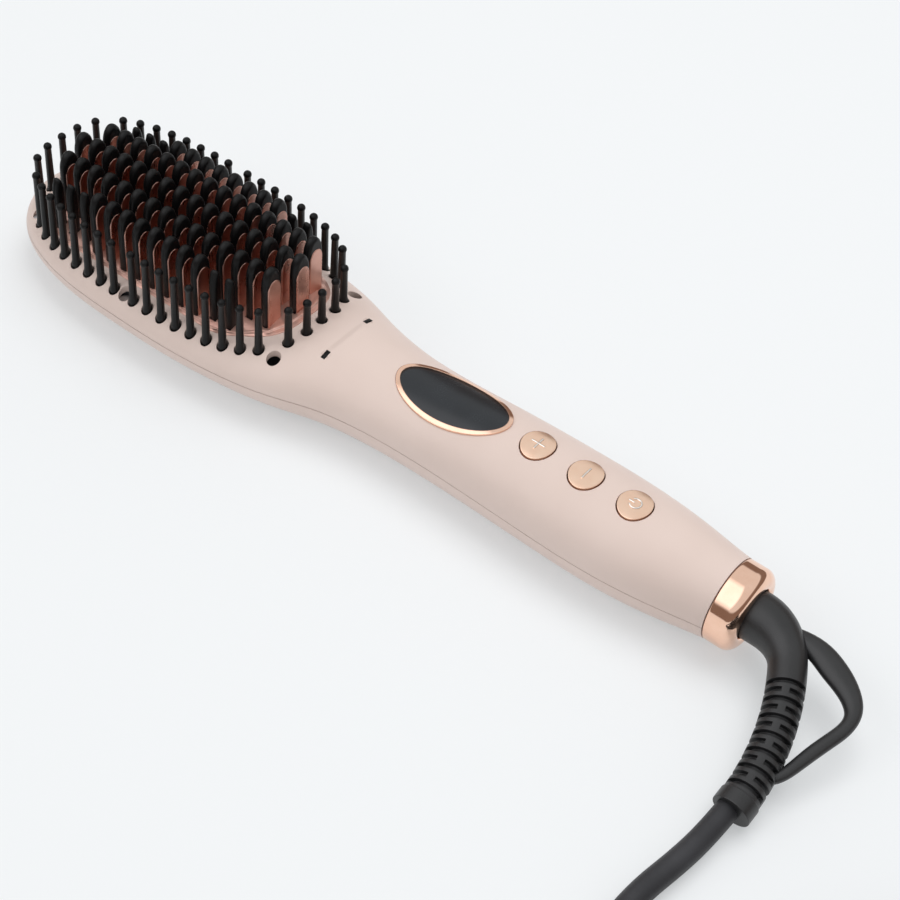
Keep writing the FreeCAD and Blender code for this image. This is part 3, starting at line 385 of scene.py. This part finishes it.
def dress_nodes(rubber):
    """Finishes of the CAD nodes, and the pieces that stand for some of them."""
    blade_coat, plate_coat_painted_light = fin_metal(), plate_metal_painted_light()
    tooth_plastic = black_moulding("hood_plastic", 0.004, 0.36, 0.22, 0.010 * MM, 0.15 * MM)
    collar_plating = rose_gold("collar_plating", 0.07, 0.010 * MM, (0.90, 0.575, 0.425),
                               (0.95, 0.635, 0.485))
    make_teeth(tooth_plastic, blade_coat)
    make_pins(tooth_plastic)
    make_rim(plate_coat_painted_light)
    body_coat = body_plastic()
    make_outlets(body_coat, tooth_plastic)
    make_collar(collar_plating)
    dress(body_coat, "upper_shell", "lower_shell")
    dress(blade_coat, "heating_fins")
    dress(plate_coat_painted_light, "heating_plate")
    dress(tooth_plastic, "fin_hoods", "bristle_pins", "bristle_carrier")
    dress(rubber, "strain_relief", "hang_loop", "plug_body")
    dress(black_moulding("swivel_plastic", 0.012, 0.40, 0.5, 0.010 * MM, 0.2 * MM), "swivel_bearing",
          "swivel_spindle", "cord_tie")
    dress(collar_plating, "end_collar", "display_bezel")
    dress(rose_gold("button_plating", 0.22, 0.020 * MM, (0.97, 0.665, 0.495), (1, 0.725, 0.555)),
          "heat_up_button", "heat_down_button", "power_button")
    dress(smoked_window(), "display_lens")
    dress(plain_metal("screw_steel", (0.55, 0.55, 0.56), 0.35), "head_screws", "board_screws",
          "ion_needles", "thermal_fuse")
    dress(plain_metal("plug_plating", (0.78, 0.76, 0.72), 0.22), "plug_pins")
    dress(inner_part("heater_ceramic", (0.72, 0.70, 0.66), (0.80, 0.78, 0.74), 0.6, 900),
          "ceramic_heater", "insulation_pad")
    dress(inner_part("board_mask", (0.020, 0.110, 0.055), (0.028, 0.140, 0.070), 0.35, 700),
          "control_board")
    dress(inner_part("component_black", (0.014, 0.014, 0.015), (0.024, 0.024, 0.026), 0.5, 1200),
          "ion_generator", "display_module", "tact_switches", "temperature_sensor", "heat_up_plunger",
          "heat_down_plunger", "power_plunger")


def coil_point(turn):
    """A control point of the coil, pushed out so that the smooth line keeps the coil's radius."""
    from_middle = turn - COIL_TURNS / 2
    radius = (COIL_INNER + COIL_STEP * abs(from_middle)) / math.cos(math.pi / COIL_POINTS)
    climb = min(max(from_middle / COIL_CLIMB + 0.5, 0), 1)
    height = COIL_STEP * climb * climb * (3 - 2 * climb)
    angle = COIL_START + 2 * math.pi * turn
    return Vector((radius * math.cos(angle), radius * math.sin(angle), height))


def cord_points():
    """The route over the floor, the coil's turns and the end that rises onto the coil to the plug."""
    points = [Vector(point) * MM for point in ROUTE]
    centre = points[-1] + Vector((COIL_LEAD, COIL_OUTER, 0))
    count = round(COIL_TURNS * COIL_POINTS)
    points += [centre + coil_point(COIL_TURNS * i / count) for i in range(1, count)]
    heading = COIL_START + 2 * math.pi * COIL_TURNS + math.pi / 2
    last = centre + Vector((COIL_OUTER * math.sin(heading), -COIL_OUTER * math.cos(heading), COIL_STEP))
    points.append(last)
    for number, share in enumerate(TAIL_RISES):
        ahead = heading + number * TAIL_TURN
        last = last + Vector((TAIL_RUN * math.cos(ahead), TAIL_RUN * math.sin(ahead), PLUG_RISE * share))
        points.append(last)
    return points


def make_cord(relief, loop):
    points = cord_points()
    curve = bpy.data.curves.new("mains_cord", "CURVE")
    curve.dimensions = "3D"
    curve.bevel_depth = CORD_RADIUS
    curve.bevel_resolution = 5
    curve.resolution_u = 4
    curve.use_fill_caps = True
    spline = curve.splines.new("NURBS")
    spline.points.add(len(points) - 1)
    for point, place in zip(spline.points, points):
        point.co = (*place, 1)
    spline.order_u = 3
    spline.use_endpoint_u = True
    spline.use_smooth = True
    cord = bpy.data.objects.new("mains_cord", curve)
    bpy.context.collection.objects.link(cord)
    curve.materials.append(cord_jacket())
    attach(cord, "cord_end")
    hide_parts("cord", "cord_coil")


def stroke_places(ends):
    """Points along a stroke, close enough to follow a curved face."""
    places = [Vector(ends[0])]
    for start, end in zip(ends, ends[1:]):
        count = math.ceil((Vector(end) - Vector(start)).length / STROKE_STEP)
        places += [Vector(start).lerp(Vector(end), (i + 1) / count) for i in range(count)]
    return places


def node_tree(name):
    """A CAD node's faces, for finding its surface."""
    mesh = NODES[name].data
    return BVHTree.FromPolygons([vertex.co for vertex in mesh.vertices],
                                [face.vertices for face in mesh.polygons])


def top_point(tree, x, y):
    return tree.ray_cast(Vector((x, y, 1)), Vector((0, 0, -1)))[0]


def make_marks():
    """Beads of brighter plating, half sunk in the buttons' faces; their near-white tone is a painted
    highlight for the light the raised marks catch.
    """
    # near-white tone: painted highlight on the raised strokes
    plating = rose_gold("mark_painted_highlight", 0.15, 0.010 * MM, (0.98, 0.88, 0.80), (1, 0.92, 0.85))
    for word, (at, strokes) in MARKS.items():
        face = node_tree(word + "_button")
        curve = bpy.data.curves.new(word + "_mark", "CURVE")
        curve.dimensions = "3D"
        curve.bevel_depth = MARK_RADIUS
        curve.bevel_resolution = 2
        curve.use_fill_caps = True
        for stroke in strokes:
            places = stroke_places(stroke)
            spline = curve.splines.new("POLY")
            spline.points.add(len(places) - 1)
            for point, place in zip(spline.points, places):
                point.co = (*top_point(face, (at + place.x) * MM, place.y * MM), 1)
        curve.materials.append(plating)
        mark = bpy.data.objects.new(word + "_mark", curve)
        bpy.context.collection.objects.link(mark)
        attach(mark, word)


def make_piece(name, mesh, material, body, slot, *replaced):
    """Turn a finished bmesh into a smooth piece that rides on a body."""
    bmesh.ops.recalc_face_normals(mesh, faces=mesh.faces)
    data = bpy.data.meshes.new(name)
    mesh.to_mesh(data)
    mesh.free()
    data.shade_smooth()
    data.materials.append(material)
    piece = bpy.data.objects.new(name, data)
    bpy.context.collection.objects.link(piece)
    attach(piece, body)
    if replaced:
        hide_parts(*replaced)
    return piece


def keep_flats(piece):
    """Weigh a piece's normals by the size of its faces, so that flats stay flat."""
    piece.modifiers.new("flats", "WEIGHTED_NORMAL")


def skin(mesh, rings, capped=True):
    """Join closed rings of points, one after another, and close both ends."""
    rows = [[mesh.verts.new(point) for point in ring] for ring in rings]
    for before, after in zip(rows, rows[1:]):
        for i in range(len(before)):
            j = (i + 1) % len(before)
            mesh.faces.new((before[i], before[j], after[j], after[i]))
    if capped:
        mesh.faces.new(rows[0])
        mesh.faces.new(rows[-1])


def solids_of(name):
    """The points of each separate solid in a CAD node."""
    mesh = NODES[name].data
    numbers = {}
    ids = [numbers.setdefault(tuple(round(part * 1e6) for part in vertex.co), len(numbers))
           for vertex in mesh.vertices]
    parents = list(range(len(numbers)))

    def head(i):
        while parents[i] != i:
            parents[i] = parents[parents[i]]
            i = parents[i]
        return i

    for edge in mesh.edges:
        first, second = (head(ids[i]) for i in edge.vertices)
        parents[first] = second
    groups = {}
    for vertex, i in zip(mesh.vertices, ids):
        groups.setdefault(head(i), []).append(vertex.co)
    return list(groups.values())


def corners(points):
    low = Vector([min(point[i] for point in points) for i in range(3)])
    high = Vector([max(point[i] for point in points) for i in range(3)])
    return low, high


def arch_ring(x, y, half_width, base, spring, rise):
    """An arch outline across the brush: straight sides, then half an oval."""
    ring = [Vector((x, y - half_width, base))]
    for i in range(ARCH_STEPS + 1):
        angle = math.pi * (1 - i / ARCH_STEPS)
        ring.append(Vector((x, y + half_width * math.cos(angle), spring + rise * math.sin(angle))))
    return ring + [Vector((x, y + half_width, base))]


def add_slab(mesh, points, half_width, thickness, rise, edge):
    """An arched slab with rounded edges in the place of a CAD tooth."""
    low, high = corners(points)
    middle = (low + high) / 2
    half_width = half_width or (high.y - low.y) / 2
    edge = min(edge, EDGE_LIMIT * half_width)
    turns = [math.pi / 2 * i / ROUND_STEPS for i in range(ROUND_STEPS + 1)]
    rings = []
    for side, turn in [(-1, turn) for turn in reversed(turns)] + [(1, turn) for turn in turns]:
        inset = edge * (1 - math.cos(turn))
        x = middle.x + side * (thickness / 2 - edge + edge * math.sin(turn))
        rings.append(arch_ring(x, middle.y, half_width - inset, low.z, high.z - rise, rise - inset))
    skin(mesh, rings)


def make_teeth(hood_finish, blade_finish):
    hoods, blades = bmesh.new(), bmesh.new()
    for points in solids_of("fin_hoods"):
        add_slab(hoods, points, None, HOOD_THICKNESS, HOOD_ARCH, HOOD_ROUND)
    for points in solids_of("heating_fins"):
        add_slab(blades, points, BLADE_WIDTH / 2, BLADE_THICKNESS, BLADE_ARCH, BLADE_ROUND)
    keep_flats(make_piece("hood_caps", hoods, hood_finish, "brush", "hood_plastic", "fin_hoods"))
    keep_flats(make_piece("fin_blades", blades, blade_finish, "brush", "fin_metal", "heating_fins"))


def turned_rings(profile, count, place):
    """Rings of a turned piece; place puts a radius, an angle and a height in space."""
    return [[place(radius, 2 * math.pi * i / count, height) for i in range(count)]
            for radius, height in profile]


def make_pins(finish):
    pins = bmesh.new()
    for points in solids_of("bristle_pins"):
        low, high = corners(points)
        at = (low + high) / 2
        wide = [point.z for point in points
                if math.hypot(point.x - at.x, point.y - at.y) > CAD_FOOT_RADIUS]
        over = max(wide) - CAD_FOOT_HEIGHT
        profile = [(PIN_FOOT[0][0] * MM, low.z)]
        profile += [(radius * MM, over + height * MM) for radius, height in PIN_FOOT]
        start = -math.acos(PIN_NECK / PIN_BALL)
        for i in range(BALL_STEPS + 1):
            angle = start + (BALL_TOP - start) * i / BALL_STEPS
            profile.append((PIN_BALL * math.cos(angle), high.z - PIN_BALL + PIN_BALL * math.sin(angle)))
        skin(pins, turned_rings(profile, PIN_SIDES, lambda radius, angle, height: Vector(
            (at.x + radius * math.cos(angle), at.y + radius * math.sin(angle), height))))
    make_piece("guard_pins", pins, finish, "brush", "hood_plastic", "bristle_pins")


def height_finder():
    """A function that gives the height of the body's skin at a place, from the shell or the proud plate."""
    trees = [(node_tree("upper_shell"), 0), (node_tree("heating_plate"), PLATE_PROUD)]

    def height(place, spare):
        """The spare height is for a place in a pin's hole."""
        hits = [(top_point(tree, place.x, place.y), proud) for tree, proud in trees]
        return max([hit.z - proud for hit, proud in hits if hit], default=spare)

    return height


def make_rim(finish):
    """The plate's stepped rim, which lies on the body's edge and on the plate."""
    skin_height = height_finder()
    last = None
    rings = [[] for part in RIM_PROFILE]
    for i in range(RIM_POINTS):
        angle = 2 * math.pi * (i + 0.5) / RIM_POINTS
        lean = [math.copysign(abs(wave) ** (2 / RIM_POWER), wave)
                for wave in (math.cos(angle), math.sin(angle))]
        outer = Vector((RIM_MIDDLE + RIM_HALF_LENGTH * lean[0], RIM_HALF_WIDTH * lean[1], 0))
        ends = PLATE_REAR + PLATE_HALF_WIDTH, PLATE_FRONT - PLATE_HALF_WIDTH
        spine = Vector((min(max(outer.x, ends[0]), ends[1]), 0, 0))
        away = (outer - spine).normalized()
        outer = spine + away * max((outer - spine).length, PLATE_HALF_WIDTH + RIM_COVER)
        inner = spine + away * (PLATE_HALF_WIDTH - RIM_OVERLAP)
        last = outer.z = skin_height(outer + away * RIM_CLEAR, last)
        inner.z = skin_height(inner, last)
        for ring, (share, height) in zip(rings, RIM_PROFILE):
            ring.append(outer.lerp(inner, share) + Vector((0, 0, height * MM)))
    rim = bmesh.new()
    skin(rim, rings + rings[:1], capped=False)
    bmesh.ops.remove_doubles(rim, verts=rim.verts, dist=WELD)
    keep_flats(make_piece("plate_rim", rim, finish, "brush", "fin_metal"))


def make_outlets(filler, black):
    """Black patches across the source's outlets, painted shade for the outlets' dark openings; the outlets'
    own holes are filled flush round them.
    """
    face = node_tree("upper_shell")
    for name, finish, slot, length, width, aside, proud in (
            ("outlet_fillers", filler, "body", OUTLET_LENGTH, OUTLET_WIDTH, OUTLET_ASIDE, -OUTLET_SUNK),
            # the black patches stand proud of the filled holes: painted shade for the outlets' openings
            ("outlet_shade_patches", black, "hood_plastic", SHADE_PATCH_LENGTH, SHADE_PATCH_WIDTH, 0, SHADE_PATCH_PROUD)):
        blocks = bmesh.new()
        for y in (-OUTLET_SIDE, OUTLET_SIDE):
            top = []
            for i, j in ((-1, -1), (1, -1), (1, 1), (-1, 1)):
                corner = Vector((OUTLET_AT + i * length / 2, y + j * width / 2, 0))
                corner.z = top_point(face, corner.x + i * aside, corner.y + j * aside).z + proud
                top.append(corner)
            skin(blocks, [[corner - Vector((0, 0, OUTLET_DEPTH)) for corner in top], top])
        keep_flats(make_piece(name, blocks, finish, "brush", slot))


def make_collar(finish):
    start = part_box("end_collar")[0][0]
    profile = [(radius * MM, start + ahead * MM) for ahead, radius in COLLAR_PROFILE]
    rings = turned_rings(profile, COLLAR_SIDES, lambda radius, angle, ahead: Vector(
        (ahead, radius * math.cos(angle), AXIS_HEIGHT + radius * math.sin(angle))))
    collar = bmesh.new()
    skin(collar, rings + rings[:1], capped=False)
    bmesh.ops.remove_doubles(collar, verts=collar.verts, dist=WELD)
    keep_flats(make_piece("collar_ring", collar, finish, "brush", "rose_trim", "end_collar"))


def from_layout(x, y, z=0):
    """From the swivel's flat layout, in millimetres, to the brush."""
    turn = Matrix.Rotation(math.radians(180 + RELIEF_DROOP), 4, "X")
    return turn @ (Vector((x, y, z)) * MM) + Vector((0, 0, AXIS_HEIGHT))


def relief_line(along):
    """Place and heading on the relief's middle line, a distance from its start."""
    place, heading = Vector((RELIEF_START, 0)), 0
    for radius, length in ((None, RELIEF_LEAD), (ELBOW_RADIUS, ELBOW_RADIUS * math.radians(ELBOW_TURN)),
                           (TAIL_RADIUS, TAIL_RADIUS * math.radians(TAIL_BEND))):
        run = min(along, length)
        along -= run
        if radius:
            centre = place + Vector((-math.sin(heading), math.cos(heading))) * radius
            heading += run / radius
            place = centre + Vector((math.sin(heading), -math.cos(heading))) * radius
        else:
            place = place + Vector((run, 0))
    return place, heading


def relief_ring(mesh, along, radius):
    place, heading = relief_line(along)
    ring = []
    for i in range(RELIEF_SIDES):
        angle = 2 * math.pi * i / RELIEF_SIDES
        aside = radius * math.cos(angle)
        point = from_layout(place.x - aside * math.sin(heading), place.y + aside * math.cos(heading),
                            radius * math.sin(angle))
        ring.append(mesh.verts.new(point))
    return ring


def join_rings(mesh, before, after, sides=range(RELIEF_SIDES)):
    for i in sides:
        j = (i + 1) % RELIEF_SIDES
        mesh.faces.new((before[i], before[j], after[j], after[i]))


def cut_slot(mesh, outer, core, number):
    """A slot between two outer rings: floor and walls, with two webs left; neighbours stand crosswise."""
    quarter = RELIEF_SIDES // 4
    middles = [0, 2 * quarter] if number % 2 == 0 else [quarter, 3 * quarter]
    webs = {(middle + i) % RELIEF_SIDES for middle in middles for i in range(-WEB_SIDES, WEB_SIDES)}
    open_sides = [i for i in range(RELIEF_SIDES) if i not in webs]
    join_rings(mesh, outer[0], outer[1], webs)
    join_rings(mesh, outer[0], core[0], open_sides)
    join_rings(mesh, core[0], core[1], open_sides)
    join_rings(mesh, core[1], outer[1], open_sides)
    for middle in middles:
        for i in ((middle - WEB_SIDES) % RELIEF_SIDES, (middle + WEB_SIDES) % RELIEF_SIDES):
            mesh.faces.new((outer[0][i], outer[1][i], core[1][i], core[0][i]))


def make_relief(finish):
    """The slotted elbow: a tapering tube, its slots and the plain band at its end."""
    relief = bmesh.new()
    bend = ELBOW_RADIUS * math.radians(ELBOW_TURN)
    tail = RELIEF_LEAD + bend
    end = tail + TAIL_RADIUS * math.radians(TAIL_BEND)
    rings = []
    for i in range(RELIEF_STEPS):
        along = (tail + SLOT_START) * i / RELIEF_STEPS
        ease = min(max((along - RELIEF_LEAD) / bend, 0), 1)
        radius = RELIEF_RADIUS + (RELIEF_SLIM - RELIEF_RADIUS) * ease * ease * (3 - 2 * ease)
        rings.append(relief_ring(relief, along, radius))
    first = rings[0]
    for before, after in zip(rings, rings[1:]):
        join_rings(relief, before, after)
    last = rings[-1]
    for number in range(SLOT_COUNT):
        spots = [tail + SLOT_START + number * SLOT_PITCH + step for step in (0, SLOT_WIDTH)]
        outer = [relief_ring(relief, spot, RELIEF_SLIM) for spot in spots]
        core = [relief_ring(relief, spot, RELIEF_CORE) for spot in spots]
        join_rings(relief, last, outer[0])
        cut_slot(relief, outer, core, number)
        last = outer[1]
    for along, radius in ((end - BAND_LENGTH, RELIEF_SLIM), (end - BAND_LENGTH, BAND_RADIUS),
                          (end, BAND_RADIUS), (end, RELIEF_BORE)):
        after = relief_ring(relief, along, radius)
        join_rings(relief, last, after)
        last = after
    relief.faces.new(first)
    relief.faces.new(last)
    loose = [point for point in relief.verts if not point.link_faces]
    bmesh.ops.delete(relief, geom=loose, context="VERTS")
    piece = make_piece("relief_boot", relief, finish, "cord_end", "rubber", "strain_relief")
    bevel = piece.modifiers.new("edges", "BEVEL")
    bevel.width = RELIEF_EDGE
    bevel.segments = EDGE_SEGMENTS
    bevel.angle_limit = EDGE_ANGLE
    bevel.harden_normals = True
    return piece


def make_loop(finish):
    """The moulded loop, thick at the elbow's back and slim where it meets the relief's lower end."""
    rings = []
    for i, (x, y, width, height) in enumerate(LOOP):
        before, after = LOOP[max(i - 1, 0)], LOOP[min(i + 1, len(LOOP) - 1)]
        heading = math.atan2(after[1] - before[1], after[0] - before[0])
        ring = []
        for j in range(LOOP_SIDES):
            angle = 2 * math.pi * j / LOOP_SIDES
            aside = width / 2 * math.cos(angle)
            ring.append(from_layout(x - aside * math.sin(heading), y + aside * math.cos(heading),
                                    height / 2 * math.sin(angle)))
        rings.append(ring)
    loop = bmesh.new()
    skin(loop, rings)
    piece = make_piece("loop_band", loop, finish, "cord_end", "rubber", "hang_loop")
    smooth = piece.modifiers.new("smooth", "SUBSURF")
    smooth.levels = smooth.render_levels = LOOP_SMOOTH
    return piece


def make_camera():
    azimuth, elevation, roll = (math.radians(angle) for angle in (CAMERA_AZIMUTH, CAMERA_ELEVATION,
                                                                  CAMERA_ROLL))
    back = Vector((math.sin(azimuth) * math.cos(elevation), -math.cos(azimuth) * math.cos(elevation),
                   math.sin(elevation)))
    right = Vector((math.cos(azimuth), math.sin(azimuth), 0))
    up = back.cross(right)
    across = right * math.cos(roll) + up * math.sin(roll)
    upright = up * math.cos(roll) - right * math.sin(roll)
    data = bpy.data.cameras.new("camera")
    data.lens = CAMERA_LENS
    data.clip_start = CAMERA_NEAR
    camera = bpy.data.objects.new("camera", data)
    bpy.context.collection.objects.link(camera)
    turn = Matrix((across, upright, back)).transposed().to_4x4()
    camera.matrix_world = Matrix.Translation(CAMERA_AT) @ turn
    bpy.context.scene.camera = camera


def stage_plane(name, half, at, material):
    mesh = bpy.data.meshes.new(name)
    square = [(-half, -half, 0), (half, -half, 0), (half, half, 0), (-half, half, 0)]
    mesh.from_pydata(square, [], [(0, 1, 2, 3)])
    plane = bpy.data.objects.new(name, mesh)
    plane.location = at
    mesh.materials.append(material)
    bpy.context.collection.objects.link(plane)


def floor_finish():
    """Pale floor that keeps the shadow and shows near white to the camera and in reflections."""
    finish = Finish("floor", {"Roughness": 0.9, "Base Color": FLOOR_TONE, "Specular IOR Level": 0.1})
    rays = [finish.node("ShaderNodeLightPath", {}, pick="Is %s Ray" % word)
            for word in ("Camera", "Glossy", "Transmission")]
    glow = finish.node("ShaderNodeEmission", {}, Color=FLOOR_GLOW, Strength=1.0)
    share = FLOOR_SHARE * (rays[0] + rays[1] + rays[2]).clamped(0, 1)
    mixed = finish.nodes.new("ShaderNodeMixShader")
    finish.links.new(share.socket, mixed.inputs[0])
    finish.links.new(finish.shader.outputs[0], mixed.inputs[1])
    finish.links.new(glow.socket, mixed.inputs[2])
    finish.links.new(mixed.outputs[0], finish.output.inputs["Surface"])
    return finish.material


def make_light(name, at, width, height, energy):
    """A softbox that faces the origin and doesn't show in mirrors."""
    data = bpy.data.lights.new(name, "AREA")
    data.shape = "RECTANGLE"
    data.size = width
    data.size_y = height
    data.energy = energy
    light = bpy.data.objects.new(name, data)
    light.location = at
    light.rotation_euler = (-Vector(at)).to_track_quat("-Z", "Y").to_euler()
    light.visible_glossy = False
    bpy.context.collection.objects.link(light)


def make_world():
    """Even pale light; mirrors see a room with a bright window that darkens towards the horizon."""
    world = bpy.data.worlds.new("studio")
    tree = Tree(world)
    direction = tree.node("ShaderNodeTexCoord", {}, pick="Generated")
    height = tree.node("ShaderNodeSeparateXYZ", {}, direction, pick="Z")
    mirrored = tree.node("ShaderNodeLightPath", {}, pick="Is Glossy Ray")
    room = tree.mix(height.span(0, 1, *ROOM_RISE), ROOM_LOW, ROOM_HIGH)
    facing = tree.node("ShaderNodeVectorMath", {"operation": "DOT_PRODUCT"}, direction, WINDOW_AIM,
                       pick="Value")
    room = tree.mix(facing.span(0, 1, *WINDOW_EDGE), room, WINDOW_LIGHT)
    shade = tree.nodes["Background"]
    tree.feed(shade, "Color", tree.mix(mirrored, WORLD_LIGHT, room))
    tree.feed(shade, "Strength", WORLD_LEVEL)
    bpy.context.scene.world = world


make_camera()
rubber = black_moulding("relief_rubber", 0.011, 0.40, 0.6, 0.030 * MM, 0.25 * MM)
make_cord(make_relief(rubber), make_loop(rubber))
dress_nodes(rubber)
make_marks()
stage_plane("floor", FLOOR_HALF, (0, 0, -FLOOR_DROP), floor_finish())
make_world()
for softbox, settings in SOFTBOXES.items():
    make_light(softbox, *settings)
bpy.context.scene.view_settings.view_transform = "Standard"
